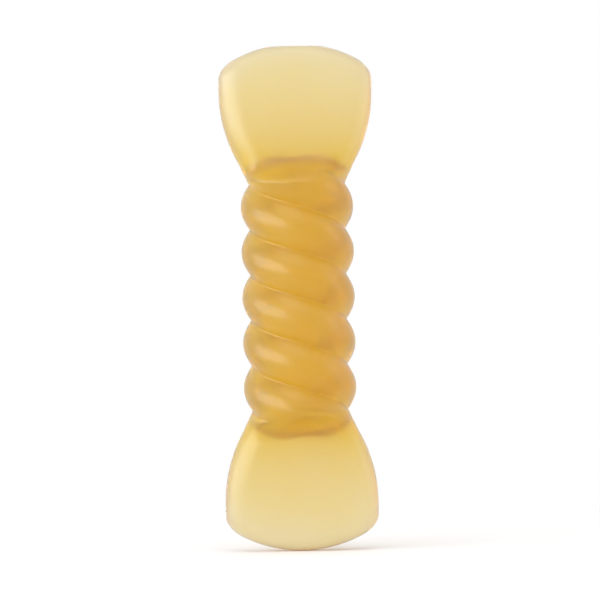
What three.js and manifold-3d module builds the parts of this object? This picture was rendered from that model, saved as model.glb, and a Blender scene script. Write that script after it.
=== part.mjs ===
import * as THREE from 'three';
import { mergeVertices } from 'three/addons/utils/BufferGeometryUtils.js';
import Module from 'manifold-3d';

// A rubber chew: two strands twisted round each other, with a flared paddle at each end.
// Millimetres, +Z up along the twist, paddle faces towards -Y and +Y.

// Twist
const TWIST_TURNS = 2.5;        // turns that each strand makes between the paddles
const STRAND_LEAD = 26.9;       // height that a strand climbs in one turn
const TWIST_DIAMETER = 33.6;    // across the crests of both strands
const STRAND_OFFSET = 2.85;     // from the twist's axis to a strand's own centre
const STRAND_BREADTH = 28.6;    // of one strand, along the face between the two

// Paddles
const PADDLE_LENGTH = 41.775;   // from the twist to the crown of the end
const PADDLE_WIDTH = 45.8;
const NECK_WIDTH = 28.6;        // where the sides leave the twist
const FLARE_SLOPE = 0.51;       // of a side as it leaves the twist
const FLARE_BLEND = 5;          // the more, the more gently the sides turn parallel
const HEEL_THICKNESS = 15;      // where the faces leave the shoulder
const TIP_THICKNESS = 8.6;      // at the crown
const CROWN_RADIUS = 39;        // of the arc across the end
const CORNER_RADIUS = 5.1;      // where a side turns into the end
const CORNER_FULLNESS = 1.55;   // above 1, the corner is squarer than an arc
const SHOULDER_LENGTH = 12;     // from the twist to the faces
const GATE_FLAT_DEPTH = 0.8;    // cut off the upper crown

// Run of the strands into a paddle
const GROOVE_RUN = 7.5;         // height in which the grooves turn into line with the paddle
const CREST_RUN = 10;           // height in which the crests do
const GROOVE_LEAN = 0.115;      // how far grooves lean to the edges, as a share of half the outline
const FILLED_DIAMETER = 31.6;   // across the strands where their grooves have filled up
const FILL_LENGTH = 4.5;        // height in which the grooves fill up
const FACE_SINK = 7.8;          // height in which the strands sink into the faces
const EDGE_SINK = 9;            // height in which they sink into the edges
const EDGE_SPAN = 20;           // degrees from an edge's middle that sink like it
const FACE_SPAN = 70;           // degrees from an edge's middle to where the face starts
const SINK_LIFT = 2;            // on the far side of a face they sink in this much higher
const LIFT_START = 80;          // degrees from the near edge to where that starts
const LIFT_END = 150;
const SIDE_ROUNDING = 3;        // of the strands' sides
const ROOT_FILLET = 10;         // where a strand meets the paddle
const BLEND_LENGTH = 3;         // height in which rounding and fillet set in

// Joints between the pieces
const TONGUE_SHARE = 0.58;      // of the paddle's section
const TONGUE_LENGTH = 8;
const BOND_GAP = 0.3;           // between bonded faces

// Fineness
const STEPS_PER_TURN = 20;
const SHOULDER_STEPS = 24;
const SHOULDER_CROWDING = 1.6;  // above 1, its rings crowd towards the twist
const BLADE_STEPS = 4;
const CROWN_STEPS = 5;
const TONGUE_STEPS = 10;
const EDGE_STEPS = 8;           // round a paddle's edge
const FACE_STEPS = 9;           // from a paddle's edge to its middle
const SPLIT_STEPS = 8;          // across the face between the strands
const MERGE = 1e-4;             // points nearer than this are one

const TWIST_HALF = TWIST_TURNS * STRAND_LEAD / 2;
const STRAND_REACH = TWIST_DIAMETER / 2 - STRAND_OFFSET;
const GROOVE_ANGLE = Math.acos(-STRAND_OFFSET / STRAND_REACH);
const CROWN_DROP = CROWN_RADIUS - crownHeight(PADDLE_WIDTH / 2);
const CORNER_HEIGHT = PADDLE_LENGTH - TIP_THICKNESS / 2 - CROWN_DROP;
const HALF_STEPS = EDGE_STEPS + 2 * FACE_STEPS;
const HALF_PLACES = Array.from({ length: HALF_STEPS + 1 }, (_, i) => i);
const WHOLE_PLACES = Array.from({ length: 2 * HALF_STEPS }, (_, i) => i);

const { clamp, euclideanModulo, lerp, radToDeg, smoothstep } = THREE.MathUtils;
const manifold = await Module();
manifold.setup();

// Height of the crown's arc above its centre.
function crownHeight(across) {
  return Math.sqrt(Math.max(CROWN_RADIUS ** 2 - across ** 2, 0));
}

// Half the paddle's thickness at a height above the twist. Its faces are planes.
function halfThickness(height) {
  const share = (height - SHOULDER_LENGTH) / (PADDLE_LENGTH - SHOULDER_LENGTH);
  return lerp(HEEL_THICKNESS, TIP_THICKNESS, share) / 2;
}

// The smaller of two sizes, eased where they are within a blend of each other.
function softLeast(a, b, blend) {
  return Math.min(a, b) - Math.max(blend - Math.abs(a - b), 0) ** 2 / (4 * blend);
}

// Half the paddle's width at a height above the twist, up to its corners.
function halfWidth(height) {
  return softLeast(NECK_WIDTH / 2 + FLARE_SLOPE * height, PADDLE_WIDTH / 2, FLARE_BLEND);
}

// Distance from the axis and direction of a place on the strands' outline.
// Places count round the outline, and a groove is at place 0 and half way round.
function strandPolar(place) {
  const half = Math.floor(place / HALF_STEPS);
  const turn = lerp(-GROOVE_ANGLE, GROOVE_ANGLE, place / HALF_STEPS - half);
  const x = STRAND_OFFSET + STRAND_REACH * Math.cos(turn);
  const y = STRAND_BREADTH / 2 * Math.sin(turn);
  return { reach: Math.hypot(x, y), turn: Math.atan2(y, x) + half * Math.PI };
}

// Direction of a place on the paddle's round-edged outline.
function paddleTurn(place, height) {
  const half = Math.floor(place / HALF_STEPS);
  const step = place - half * HALF_STEPS;
  const thickness = halfThickness(height);
  const round = clamp((step - FACE_STEPS) / EDGE_STEPS, 0, 1) * Math.PI - Math.PI / 2;
  const inward = Math.min(step, HALF_STEPS - step, FACE_STEPS) / FACE_STEPS;
  const x = (halfWidth(height) - thickness) * inward + thickness * Math.cos(round);
  return Math.atan2(thickness * Math.sin(round), x) + half * Math.PI;
}

// Distance from the axis to the paddle's outline in a direction.
function paddleReach(turn, height) {
  const thickness = halfThickness(height);
  const straight = halfWidth(height) - thickness;
  const along = Math.abs(Math.cos(turn));
  const across = Math.abs(Math.sin(turn));
  if (thickness * along <= straight * across) {
    return thickness / across;
  }
  return straight * along + Math.sqrt(Math.max(thickness ** 2 - (straight * across) ** 2, 0));
}

// Direction in which a place lies at a height above the twist. The crests run out on the
// paddle's edges, and the grooves on its faces.
function rootTurn(place, height) {
  const groove = Math.cos(Math.PI * place / HALF_STEPS) ** 2;
  const upright = smoothstep(height, SHOULDER_LENGTH, CORNER_HEIGHT);
  const lean = GROOVE_LEAN * HALF_STEPS * groove * (1 - upright);
  const start = strandPolar(place).turn + 3 * Math.PI / 2;
  const end = paddleTurn(place - lean, height) + Math.PI;
  const run = lerp(CREST_RUN, GROOVE_RUN, groove);
  const pace = 2 * Math.PI / STRAND_LEAD * run / (start - end);
  const past = clamp(height / run, 0, 1);
  return lerp(start, end, past * (1 - past) ** 2 * pace + past ** 2 * (3 - 2 * past));
}

// Reach of the strands above the twist, where their grooves fill up.
function runReach(place, turn, height) {
  const filled = smoothstep(height, 0, FILL_LENGTH);
  const whole = lerp(strandPolar(place).reach, FILLED_DIAMETER / 2, filled);
  const side = halfWidth(height) / Math.max(Math.abs(Math.cos(turn)), MERGE);
  return softLeast(whole, side, SIDE_ROUNDING * smoothstep(height, 0, BLEND_LENGTH) + MERGE);
}

// How far the strands have sunk into the paddle in a direction, from 0 to 1.
function sunkShare(turn, height) {
  const across = euclideanModulo(radToDeg(turn), 180);
  const near = 1 - smoothstep(across, 180 - EDGE_SPAN, 180);
  const face = smoothstep(across, EDGE_SPAN, FACE_SPAN) * near;
  const start = SINK_LIFT * smoothstep(across, LIFT_START, LIFT_END) * near;
  return smoothstep(height, start, start + lerp(EDGE_SINK, FACE_SINK, face));
}

// A point of the upper paddle's outline, where the strands sink into its faces.
function rootPoint(place, height) {
  const turn = rootTurn(place, height);
  const sunk = sunkShare(turn, height);
  const paddle = paddleReach(turn, height);
  const strand = lerp(runReach(place, turn, height), paddle, sunk);
  const fillet = ROOT_FILLET * smoothstep(height, 0, BLEND_LENGTH) * Math.sin(turn) ** 2;
  const reach = -softLeast(-strand, -paddle, fillet * (1 - sunk) + MERGE);
  return new THREE.Vector2(reach * Math.cos(turn), reach * Math.sin(turn));
}

// A point of the strands' outline. The twist is left-handed, and the lower end is the
// upper one turned over.
function strandPoint(place, z) {
  const height = Math.abs(z) - TWIST_HALF;
  if (height <= 0) {
    const { reach, turn } = strandPolar(place);
    const whole = turn + 3 * Math.PI / 2 + (TWIST_HALF - z) / STRAND_LEAD * 2 * Math.PI;
    return new THREE.Vector2(reach * Math.cos(whole), reach * Math.sin(whole));
  }
  if (z > 0) {
    return rootPoint(place, height);
  }
  const over = rootPoint(HALF_STEPS - place, height);
  return new THREE.Vector2(over.x, -over.y);
}

// A strand's section at a height, cut off along the face that it shares with the other strand.
function strandRing(z, share) {
  const round = HALF_PLACES.map((place) => strandPoint(place, z).multiplyScalar(share));
  const chord = round.at(-1).clone().sub(round[0]).normalize();
  const inside = new THREE.Vector2(chord.y, -chord.x);
  round.forEach((point) => {
    const short = BOND_GAP / 2 - point.dot(inside);
    point.addScaledVector(inside, Math.max(short, 0));
  });
  const split = [];
  for (let i = 1; i < SPLIT_STEPS; i++) {
    split.push(round.at(-1).clone().lerp(round[0], i / SPLIT_STEPS));
  }
  return [...round, ...split].map((point) => new THREE.Vector3(point.x, point.y, z));
}

// The room for both tongues in a paddle's root.
function socketRing(height) {
  return WHOLE_PLACES.map((place) => {
    const point = rootPoint(place, height);
    point.setLength(TONGUE_SHARE * point.length() + BOND_GAP);
    return new THREE.Vector3(point.x, point.y, TWIST_HALF + height);
  });
}

// A ring of the paddle. It bows up towards the crown's arc, and keeps to the face planes.
function bladeRing(height) {
  const bow = smoothstep(height, SHOULDER_LENGTH, CORNER_HEIGHT);
  const edge = crownHeight(halfWidth(height));
  return WHOLE_PLACES.map((place) => {
    const { x, y } = rootPoint(place, height);
    const rise = bow * (crownHeight(x) - edge);
    const taper = halfThickness(height + rise) / halfThickness(height);
    return new THREE.Vector3(x, y * taper, TWIST_HALF + height + rise);
  });
}

// A ring that rounds the paddle's end, from the corners at 0 to the crown's line at a quarter turn.
function crownRing(angle) {
  const inset = CORNER_RADIUS * (1 - Math.cos(angle)) ** CORNER_FULLNESS;
  const lift = TIP_THICKNESS / 2 * Math.sin(angle);
  return bladeRing(CORNER_HEIGHT).map((point) => {
    const base = point.z - crownHeight(point.x);
    point.x *= 1 - inset / (PADDLE_WIDTH / 2);
    point.y *= Math.cos(angle);
    point.z = base + crownHeight(point.x) + lift;
    return point;
  });
}

// A closed body over rings with the same number of points each, counter-clockwise about +Z.
// A top ring that lies folded on itself needs no lid. Facets run with the twist on the first
// points of each ring, and across it on the rest, which keeps the strands' shared faces apart.
function loft(rings, lidded, along = rings[0].length) {
  const count = rings[0].length;
  const top = (rings.length - 1) * count;
  const points = rings.flat();
  const index = [];
  for (let a = 0; a < top; a++) {
    const b = (a + 1) % count === 0 ? a + 1 - count : a + 1;
    if (a % count < along) {
      index.push(a, b, b + count, a, b + count, a + count);
    } else {
      index.push(a, b, a + count, b, b + count, a + count);
    }
  }
  points.push(centreOf(rings[0]), centreOf(rings.at(-1)));
  for (let i = 0; i < count; i++) {
    const next = (i + 1) % count;
    index.push(points.length - 2, next, i);
    if (lidded) {
      index.push(points.length - 1, top + i, top + next);
    }
  }
  const geometry = new THREE.BufferGeometry().setFromPoints(points);
  geometry.setIndex(index);
  const { attributes, index: faces } = mergeVertices(geometry, MERGE);
  return new manifold.Manifold(new manifold.Mesh({
    numProp: 3,
    vertProperties: attributes.position.array,
    triVerts: Uint32Array.from(faces.array),
  }));
}

function centreOf(ring) {
  const sum = ring.reduce((total, point) => total.add(point), new THREE.Vector3());
  return sum.divideScalar(ring.length);
}

function spaced(from, to, steps) {
  return Array.from({ length: steps + 1 }, (_, i) => lerp(from, to, i / steps));
}

function strand() {
  const tongue = spaced(TWIST_HALF, TWIST_HALF + TONGUE_LENGTH, TONGUE_STEPS);
  const twist = spaced(-TWIST_HALF, TWIST_HALF, Math.round(TWIST_TURNS * STEPS_PER_TURN));
  return loft([
    ...tongue.toReversed().map((z) => strandRing(-z, TONGUE_SHARE)),
    ...twist.map((z) => strandRing(z, 1)),
    ...tongue.map((z) => strandRing(z, TONGUE_SHARE)),
  ], true, HALF_STEPS);
}

function paddle() {
  const crowded = spaced(0, 1, SHOULDER_STEPS).map((share) => share ** SHOULDER_CROWDING);
  const shoulder = crowded.map((share) => lerp(BOND_GAP, SHOULDER_LENGTH, share));
  const blade = spaced(SHOULDER_LENGTH, CORNER_HEIGHT, BLADE_STEPS);
  const crown = spaced(0, Math.PI / 2, CROWN_STEPS);
  const body = loft([
    ...shoulder.map(bladeRing),
    ...blade.slice(1).map(bladeRing),
    ...crown.slice(1).map(crownRing),
  ], false);
  const room = [...spaced(0, TONGUE_LENGTH, TONGUE_STEPS), TONGUE_LENGTH + BOND_GAP];
  return body.subtract(loft(room.map(socketRing), true));
}

function piece(name, body, colour) {
  const { vertProperties, triVerts } = body.getMesh();
  const geometry = new THREE.BufferGeometry();
  geometry.setAttribute('position', new THREE.BufferAttribute(vertProperties, 3));
  geometry.setIndex(new THREE.BufferAttribute(triVerts, 1));
  geometry.computeVertexNormals();
  const material = new THREE.MeshStandardMaterial({ color: colour, roughness: 0.45, metalness: 0 });
  const mesh = new THREE.Mesh(geometry, material);
  mesh.name = name;
  mesh.position.z = GATE_FLAT_DEPTH / 2;
  return mesh;
}

const gateHeight = TWIST_HALF + PADDLE_LENGTH - GATE_FLAT_DEPTH;
const upperPaddle = piece('upper_paddle', paddle().trimByPlane([0, 0, -1], -gateHeight), 0xebd598);
const lowerPaddle = piece('lower_paddle', paddle(), 0xe5ca85);
lowerPaddle.rotation.set(0, Math.PI, 2 * Math.PI * TWIST_TURNS, 'ZYX');
const firstStrand = piece('first_strand', strand(), 0xd9a23a);
const secondStrand = piece('second_strand', strand(), 0xd39b34);
secondStrand.rotation.z = Math.PI;

const chew = new THREE.Group();
chew.name = 'dental_chew';
chew.add(upperPaddle, lowerPaddle, firstStrand, secondStrand);

export default chew;
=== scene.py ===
from math import acos, atan2, cos, degrees, hypot, pi, radians, sin, sqrt

import bmesh
import bpy
from mathutils import Matrix, Vector


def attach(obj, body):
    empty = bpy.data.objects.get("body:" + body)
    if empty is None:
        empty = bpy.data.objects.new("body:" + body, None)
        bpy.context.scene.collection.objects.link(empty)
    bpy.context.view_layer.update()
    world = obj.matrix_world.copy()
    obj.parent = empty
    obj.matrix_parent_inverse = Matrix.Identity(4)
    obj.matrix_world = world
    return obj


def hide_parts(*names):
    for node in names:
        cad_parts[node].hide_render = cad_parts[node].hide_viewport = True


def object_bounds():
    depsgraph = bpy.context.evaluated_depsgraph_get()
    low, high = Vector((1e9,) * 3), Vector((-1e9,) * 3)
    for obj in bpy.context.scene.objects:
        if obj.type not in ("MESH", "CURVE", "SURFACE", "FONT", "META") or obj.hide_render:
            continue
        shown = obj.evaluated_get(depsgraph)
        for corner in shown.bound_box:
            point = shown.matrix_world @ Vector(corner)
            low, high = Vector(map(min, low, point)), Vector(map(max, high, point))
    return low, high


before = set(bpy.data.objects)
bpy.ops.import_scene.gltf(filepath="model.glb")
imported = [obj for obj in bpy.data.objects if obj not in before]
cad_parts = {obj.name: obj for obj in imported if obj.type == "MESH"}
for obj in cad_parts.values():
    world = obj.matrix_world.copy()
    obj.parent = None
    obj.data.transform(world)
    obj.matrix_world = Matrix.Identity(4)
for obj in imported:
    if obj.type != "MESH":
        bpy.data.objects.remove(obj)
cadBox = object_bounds()
print("frame loaded")


# camera, square on to the paddles

shot = {
    "distance": 1.3,            # from the chew, long enough to look almost flat
    "across": 0.17845,          # metres seen across the picture
    "aim": (0.00042, -0.0005),  # right of and above the chew's middle
    "roll": 1.015,              # degrees, the chew leans to the left in the picture
}


def addCamera():
    data = bpy.data.cameras.new("camera")
    data.sensor_width = 36
    data.lens = data.sensor_width * shot["distance"] / shot["across"]
    data.clip_end = 10
    camera = bpy.data.objects.new("camera", data)
    aimX, aimZ = shot["aim"]
    camera.location = (aimX, -shot["distance"], aimZ)
    upright = Matrix.Rotation(radians(90), 3, "X")
    camera.rotation_euler = (upright @ Matrix.Rotation(radians(-shot["roll"]), 3, "Z")).to_euler()
    bpy.context.collection.objects.link(camera)
    bpy.context.scene.camera = camera


addCamera()
bpy.context.scene.view_settings.view_transform = "Standard"
print("camera placed")


# one rubber body: two twisted strands that run into a paddle at each end

body = {
    "turns": 2.5,             # of each strand between the paddles
    "lead": 0.0269,           # climb of a strand in one turn
    "crest": 0.0168,          # from the twist's axis to a strand's crest
    "strandOffset": 0.00285,  # from the twist's axis to a strand's own middle
    "strandBreadth": 0.0143,  # half of a strand along the face between the two
    "neck": 0.0143,           # half of a paddle's width at the twist
    "flareSlope": 0.51,       # of a side as it leaves the twist
    "flareBlend": 0.005,      # how gently the sides turn parallel
    "width": 0.0229,          # half of a paddle
    "length": 0.041775,       # of a paddle, from the twist to its crown
    "shoulder": 0.012,        # height above the twist where the faces start
    "heel": 0.0075,           # half thickness at the shoulder
    "tip": 0.0043,            # half thickness at the crown
    "crownRadius": 0.039,
    "cornerRadius": 0.0051,
    "cornerPower": 1.55,      # above 1 the corner is squarer than an arc
    "gate": 0.075,            # height of the trimmed upper end
    "middle": 0.0004,         # height of the twist's middle
    "grooveRun": 0.0075,      # height in which the grooves turn into the paddle
    "crestRun": 0.01,         # the same for the strands' crests
    "slant": 3,               # places that a groove leans towards the paddle's edge
    "filled": 0.0158,         # reach of the strands once their groove has filled up
    "fillHeight": 0.0045,
    "faceSink": 0.0078,       # height in which the strands sink into the faces
    "edgeSink": 0.009,        # the same at the paddle's edges
    "sinkLift": 0.002,        # on one side of a face they sink in this much higher
    "faceTurn": (20, 70),     # degrees from an edge over which edge gives way to face
    "farTurn": (160, 180),    # the same for the other edge
    "liftTurn": (80, 150),    # degrees over which the lift sets in
    "roundOff": 0.003,        # of the strands' sides
    "fillet": 0.01,           # between strands and paddle
    "blendHeight": 0.003,     # in which rounding and fillet set in
    "thin": 0.57,             # painted translucency shade of a paddle's heel, where the thick twist is 1
    "paintedShadeHeights": (0.0021, 0.0143),  # heights between which the painted translucency shade changes
    "edgeSteps": 8,           # round a paddle's edge
    "faceSteps": 9,           # across half a face
    "turnSteps": 60,          # rings in one turn of the twist
    "rootSteps": 24,
    "rootBunching": 1.2,      # above 1 the rings crowd towards the twist
    "bladeSteps": 7,
    "crownSteps": 8,
    "crease": 0.8,            # sharpness of the groove
    "smooth": 1,              # subdivision levels
}

twistHalf = body["turns"] * body["lead"] / 2
halfSteps = body["edgeSteps"] + 2 * body["faceSteps"]
reach = body["crest"] - body["strandOffset"]
grooveAngle = acos(-body["strandOffset"] / reach)
twistStart = 1.5 * pi   # direction of the strands where they meet the upper paddle
tiny = 1e-6


def mix(a, b, share):
    return a + (b - a) * share


def ease(value, start, end):
    share = min(max((value - start) / (end - start), 0), 1)
    return share * share * (3 - 2 * share)


# the smaller of two sizes, eased where they are within a blend of each other
def softLeast(a, b, blend):
    return min(a, b) - max(blend - abs(a - b), 0) ** 2 / (4 * blend)


def spaced(start, end, steps):
    return [mix(start, end, i / steps) for i in range(steps + 1)]


def crownHeight(across):
    return sqrt(max(body["crownRadius"] ** 2 - across ** 2, 0))


cornerHeight = body["length"] - body["tip"] - body["crownRadius"] + crownHeight(body["width"])


def halfThickness(height):
    return mix(body["heel"], body["tip"], (height - body["shoulder"]) / (body["length"] - body["shoulder"]))


def halfWidth(height):
    return softLeast(body["neck"] + body["flareSlope"] * height, body["width"], body["flareBlend"])


# reach and direction of a point on the two strands, the groove is at place 0
def strandPolar(place):
    half, i = divmod(place, halfSteps)
    turn = mix(-grooveAngle, grooveAngle, i / halfSteps)
    x, y = body["strandOffset"] + reach * cos(turn), body["strandBreadth"] * sin(turn)
    return hypot(x, y), atan2(y, x) + half * pi


# direction of a point on the paddle's round-edged outline
def paddleTurn(place, height):
    half, i = divmod(place, halfSteps)
    thickness = halfThickness(height)
    around = min(max((i - body["faceSteps"]) / body["edgeSteps"], 0), 1) * pi - pi / 2
    inward = min(i, halfSteps - i, body["faceSteps"]) / body["faceSteps"]
    x = (halfWidth(height) - thickness) * inward + thickness * cos(around)
    return atan2(thickness * sin(around), x) + half * pi


def paddleReach(turn, height):
    thickness = halfThickness(height)
    straight = halfWidth(height) - thickness
    c, s = abs(cos(turn)), abs(sin(turn))
    if thickness * c <= straight * s:
        return thickness / s
    return straight * c + sqrt(max(thickness ** 2 - (straight * s) ** 2, 0))


# the outline at a height above the twist, where the strands sink into the paddle
def rootPoint(place, height):
    strand, start = strandPolar(place)
    lobe = sin(pi * place / halfSteps) ** 2
    lean = body["slant"] * (1 - lobe) * (1 - ease(height, body["shoulder"], cornerHeight))
    start += twistStart
    end = pi + paddleTurn(place - lean, height)
    run = mix(body["grooveRun"], body["crestRun"], lobe)
    pace = 2 * pi / body["lead"] * run / (start - end)
    past = min(height / run, 1)
    turn = mix(start, end, past * (1 - past) ** 2 * pace + past ** 2 * (3 - 2 * past))
    across = degrees(turn) % 180
    near = 1 - ease(across, *body["farTurn"])
    centre = ease(across, *body["faceTurn"]) * near
    lift = body["sinkLift"] * ease(across, *body["liftTurn"]) * near
    sunk = ease(height, lift, mix(body["edgeSink"], body["faceSink"], centre) + lift)
    paddle = paddleReach(turn, height)
    side = halfWidth(height) / max(abs(cos(turn)), tiny)
    strand = mix(strand, body["filled"], ease(height, 0, body["fillHeight"]))
    blend = ease(height, 0, body["blendHeight"])
    strand = softLeast(strand, side, body["roundOff"] * blend + tiny)
    strand = mix(strand, paddle, sunk)
    fillet = body["fillet"] * blend * (1 - sunk) * sin(turn) ** 2
    size = -softLeast(-strand, -paddle, fillet + tiny)
    return size * cos(turn), size * sin(turn)


def paddlePoint(place, height, crownTurn):
    x, y = rootPoint(place, height)
    rise = ease(height, body["shoulder"], cornerHeight) * (crownHeight(x) - crownHeight(halfWidth(height)))
    y *= halfThickness(height + rise) / halfThickness(height)
    if crownTurn > 0:
        base = rise - crownHeight(x)
        x *= 1 - body["cornerRadius"] * (1 - cos(crownTurn)) ** body["cornerPower"] / body["width"]
        y *= cos(crownTurn)
        rise = base + crownHeight(x) + body["tip"] * sin(crownTurn)
    return Vector((x, y, twistHalf + height + rise))


def bodyPoint(place, z, crownTurn):
    height = abs(z) - twistHalf
    if height <= 0:
        size, turn = strandPolar(place)
        turn += (twistHalf - z) / body["lead"] * 2 * pi + twistStart
        point = Vector((size * cos(turn), size * sin(turn), z))
    elif z > 0:
        point = paddlePoint(place, height, crownTurn)
    else:   # the lower end is the upper one turned over
        x, y, up = paddlePoint((halfSteps - place) % (2 * halfSteps), height, crownTurn)
        point = Vector((x, -y, -up))
    point.z = min(point.z + body["middle"], body["gate"])
    return point


def stations():
    twist = [(z, 0) for z in spaced(0, twistHalf, round(body["turns"] * body["turnSteps"] / 2))]
    shares = [share ** body["rootBunching"] for share in spaced(0, 1, body["rootSteps"])[1:]]
    root = [(twistHalf + share * body["shoulder"], 0) for share in shares]
    blade = [(twistHalf + h, 0) for h in spaced(body["shoulder"], cornerHeight, body["bladeSteps"])[1:]]
    crown = [(twistHalf + cornerHeight, a) for a in spaced(0, pi / 2, body["crownSteps"])[1:]]
    upper = twist + root + blade + crown
    return [(-z, a) for z, a in reversed(upper[1:])] + upper


def buildBody():
    bm = bmesh.new()
    placeLayer = bm.verts.layers.int.new("place")
    paintedShadeLayer = bm.verts.layers.float.new("painted_thickness_shade")
    grooveLayer = bm.verts.layers.float.new("groove")
    ring = bmesh.ops.create_circle(bm, segments=2 * halfSteps, radius=body["crest"])["verts"]
    for place, vert in enumerate(ring):
        vert[placeLayer] = place
    edges = bm.edges[:]
    for number, (z, crownTurn) in enumerate(stations()):
        if number:
            made = bmesh.ops.extrude_edge_only(bm, edges=edges)["geom"]
            ring = [item for item in made if isinstance(item, bmesh.types.BMVert)]
            fresh = set(ring)
            edges = [e for e in made if isinstance(e, bmesh.types.BMEdge) and set(e.verts) <= fresh]
        height = abs(z) - twistHalf
        for vert in ring:
            place = vert[placeLayer]
            vert.co = bodyPoint(place, z, crownTurn)
            vert[grooveLayer] = 1 - ease(height, 0, body["faceSink"])
            # painted translucency: 1 in the thick twist, falling towards the thin crown, so the base colour
            # is painted paler where light shines through the rubber
            thinner = (body["length"] - height) / (body["length"] - body["shoulder"])
            vert[paintedShadeLayer] = mix(1, body["thin"] * min(thinner, 1), ease(height, *body["paintedShadeHeights"]))
    creaseLayer = bm.edges.layers.float.new("crease_edge")
    for edge in bm.edges:
        if all(vert[placeLayer] % halfSteps == 0 for vert in edge.verts):
            edge[creaseLayer] = body["crease"] * min(vert[grooveLayer] for vert in edge.verts)
    bmesh.ops.remove_doubles(bm, verts=bm.verts, dist=tiny)
    bmesh.ops.recalc_face_normals(bm, faces=bm.faces)
    mesh = bpy.data.meshes.new("rubber_body")
    bm.to_mesh(mesh)
    bm.free()
    mesh.shade_smooth()
    piece = bpy.data.objects.new("rubber_body", mesh)
    bpy.context.collection.objects.link(piece)
    rounding = piece.modifiers.new("rounding", "SUBSURF")
    rounding.levels = rounding.render_levels = body["smooth"]
    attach(piece, "root")
    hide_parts("upper_paddle", "lower_paddle", "first_strand", "second_strand")
    return piece


rubberBody = buildBody()
print("body lofted", len(rubberBody.data.polygons), "faces")


rubber = {
    "paintedThinPale": (0.872, 0.886, 0.83, 1),    # painted light through the thin end of a paddle
    "paintedThickAmber": (0.817, 0.67, 0.01, 1),    # painted shade of the thick twist, where little light gets through
    "clear": 0.85,                      # share of light that goes through
    "tint": (0.93, 0.71, 0.01, 1),      # left after a long way through
    "density": 82,
    "scatter": 0.015,
    "roughness": 0.44,
    "roughnessSpread": 0.06,
    "sheen": 0.05,
    "coat": 0.6,
    "coatRoughness": 0.3,
    "bend": 1.39,                       # refraction
    "mottle": 0.06,                     # change of shade over the rubber
    "mottleScale": 70,
    "mottleDetail": 3,
    "mottleSpan": (0.25, 0.75),         # of the noise that is used
    "grain": 0.04,
    "grainHeight": 0.0003,
    "grainScale": 900,
    "grainDetail": 2,
}


def rubberMaterial():
    material = bpy.data.materials.new("translucent_rubber")
    material.use_nodes = True
    nodes, links = material.node_tree.nodes, material.node_tree.links
    shader = nodes["Principled BSDF"]
    place = nodes.new("ShaderNodeTexCoord")
    # painted translucency: the base colour is paler where the rubber is thin and lit through, deeper amber
    # where it is thick
    painted_thickness_shade = nodes.new("ShaderNodeAttribute")
    painted_thickness_shade.attribute_name = "painted_thickness_shade"

    # cloudy shade, the rubber isn't the same all through
    clouds = nodes.new("ShaderNodeTexNoise")
    clouds.inputs["Scale"].default_value = rubber["mottleScale"]
    clouds.inputs["Detail"].default_value = rubber["mottleDetail"]
    links.new(place.outputs["Object"], clouds.inputs["Vector"])
    shift = nodes.new("ShaderNodeMapRange")
    shift.inputs["From Min"].default_value = rubber["mottleSpan"][0]
    shift.inputs["From Max"].default_value = rubber["mottleSpan"][1]
    shift.inputs["To Min"].default_value = -rubber["mottle"]
    shift.inputs["To Max"].default_value = rubber["mottle"]
    links.new(clouds.outputs["Fac"], shift.inputs["Value"])
    total = nodes.new("ShaderNodeMath")
    total.operation = "ADD"
    links.new(painted_thickness_shade.outputs["Fac"], total.inputs[0])
    links.new(shift.outputs["Result"], total.inputs[1])
    # ramp from the painted pale of thin, lit-through rubber to the painted deep amber of thick rubber, with
    # the cloudy tone added
    ramp = nodes.new("ShaderNodeValToRGB")
    ramp.color_ramp.elements[0].color = rubber["paintedThinPale"]
    ramp.color_ramp.elements[1].color = rubber["paintedThickAmber"]
    links.new(total.outputs["Value"], ramp.inputs["Fac"])
    links.new(ramp.outputs["Color"], shader.inputs["Base Color"])

    # satin skin with a fine grain
    grain = nodes.new("ShaderNodeTexNoise")
    grain.inputs["Scale"].default_value = rubber["grainScale"]
    grain.inputs["Detail"].default_value = rubber["grainDetail"]
    links.new(place.outputs["Object"], grain.inputs["Vector"])
    rough = nodes.new("ShaderNodeMapRange")
    rough.inputs["To Min"].default_value = rubber["roughness"] - rubber["roughnessSpread"]
    rough.inputs["To Max"].default_value = rubber["roughness"] + rubber["roughnessSpread"]
    links.new(clouds.outputs["Fac"], rough.inputs["Value"])
    links.new(rough.outputs["Result"], shader.inputs["Roughness"])
    bump = nodes.new("ShaderNodeBump")
    bump.inputs["Strength"].default_value = rubber["grain"]
    bump.inputs["Distance"].default_value = rubber["grainHeight"]
    links.new(grain.outputs["Fac"], bump.inputs["Height"])
    links.new(bump.outputs["Normal"], shader.inputs["Normal"])

    shader.inputs["IOR"].default_value = rubber["bend"]
    shader.inputs["Sheen Weight"].default_value = rubber["sheen"]
    shader.inputs["Coat Weight"].default_value = rubber["coat"]
    shader.inputs["Coat Roughness"].default_value = rubber["coatRoughness"]
    shader.inputs["Subsurface Weight"].default_value = 1
    shader.inputs["Subsurface Scale"].default_value = rubber["scatter"]
    shader.inputs["Subsurface Radius"].default_value = (1, 1, 1)
    shader.inputs["Transmission Weight"].default_value = rubber["clear"]
    absorb = nodes.new("ShaderNodeVolumeAbsorption")
    absorb.inputs["Color"].default_value = rubber["tint"]
    absorb.inputs["Density"].default_value = rubber["density"]
    links.new(absorb.outputs["Volume"], nodes["Material Output"].inputs["Volume"])
    return material


rubberBody.data.materials.append(rubberMaterial())
print("rubber finished")


# floor, light and backdrop

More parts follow.
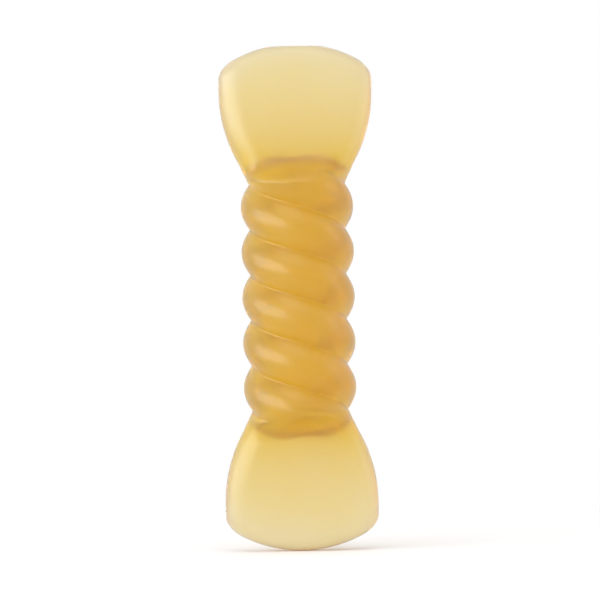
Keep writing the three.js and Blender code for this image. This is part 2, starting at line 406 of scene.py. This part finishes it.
studio = {
    "floor": cadBox[0].z,
    "floorSize": 0.5,
    "floorWhite": 0.93,
    "floorRoughness": 0.9,
    "world": 0.82,            # light on the chew, the camera sees 1
    "key": 10.5,              # big soft lamp on the left
    "keyTurn": 60,            # degrees to the left of the camera
    "keyRise": 10,
    "keySize": (1.5, 0.7),
    "fill": 1.4,              # narrow lamp on the right
    "fillTurn": -83,
    "fillRise": 6,
    "fillSize": (0.4, 0.9),
    "top": 2.2,               # soft lamp high in front
    "topTurn": 0,
    "topRise": 60,
    "topSize": (0.8, 0.8),
}


def addFloor():
    bm = bmesh.new()
    bmesh.ops.create_grid(bm, x_segments=1, y_segments=1, size=studio["floorSize"] / 2)
    bmesh.ops.translate(bm, verts=bm.verts, vec=(0, 0, studio["floor"]))
    mesh = bpy.data.meshes.new("floor")
    bm.to_mesh(mesh)
    bm.free()
    floor = bpy.data.objects.new("floor", mesh)
    bpy.context.collection.objects.link(floor)
    material = bpy.data.materials.new("white_floor")
    material.use_nodes = True
    shader = material.node_tree.nodes["Principled BSDF"]
    shader.inputs["Base Color"].default_value = (*[studio["floorWhite"]] * 3, 1)
    shader.inputs["Roughness"].default_value = studio["floorRoughness"]
    mesh.materials.append(material)


def addWorld():
    world = bpy.data.worlds.new("studio")
    bpy.context.scene.world = world
    world.use_nodes = True
    nodes, links = world.node_tree.nodes, world.node_tree.links
    background = nodes["Background"]
    background.inputs["Color"].default_value = (1, 1, 1, 1)
    path = nodes.new("ShaderNodeLightPath")
    mirrored = nodes.new("ShaderNodeMath")
    mirrored.operation = "MAXIMUM"
    links.new(path.outputs["Is Glossy Ray"], mirrored.inputs[0])
    links.new(path.outputs["Is Transmission Ray"], mirrored.inputs[1])
    seen = nodes.new("ShaderNodeMath")
    seen.operation = "MAXIMUM"
    links.new(path.outputs["Is Camera Ray"], seen.inputs[0])
    links.new(mirrored.outputs["Value"], seen.inputs[1])
    level = nodes.new("ShaderNodeMapRange")
    level.inputs["To Min"].default_value = studio["world"]
    level.inputs["To Max"].default_value = 1
    links.new(seen.outputs["Value"], level.inputs["Value"])
    links.new(level.outputs["Result"], background.inputs["Strength"])


def addLamp(name):
    turn, rise = radians(studio[name + "Turn"]), radians(studio[name + "Rise"])
    place = (-sin(turn) * cos(rise), -cos(turn) * cos(rise), sin(rise))
    data = bpy.data.lights.new(name, "AREA")
    data.shape = "RECTANGLE"
    data.size, data.size_y = studio[name + "Size"]
    data.energy = studio[name]
    lamp = bpy.data.objects.new(name, data)
    lamp.location = place
    lamp.rotation_euler = (-Vector(place)).to_track_quat("-Z", "Y").to_euler()
    bpy.context.collection.objects.link(lamp)


addFloor()
addWorld()
for lampName in ("key", "fill", "top"):
    addLamp(lampName)
print("studio lit")
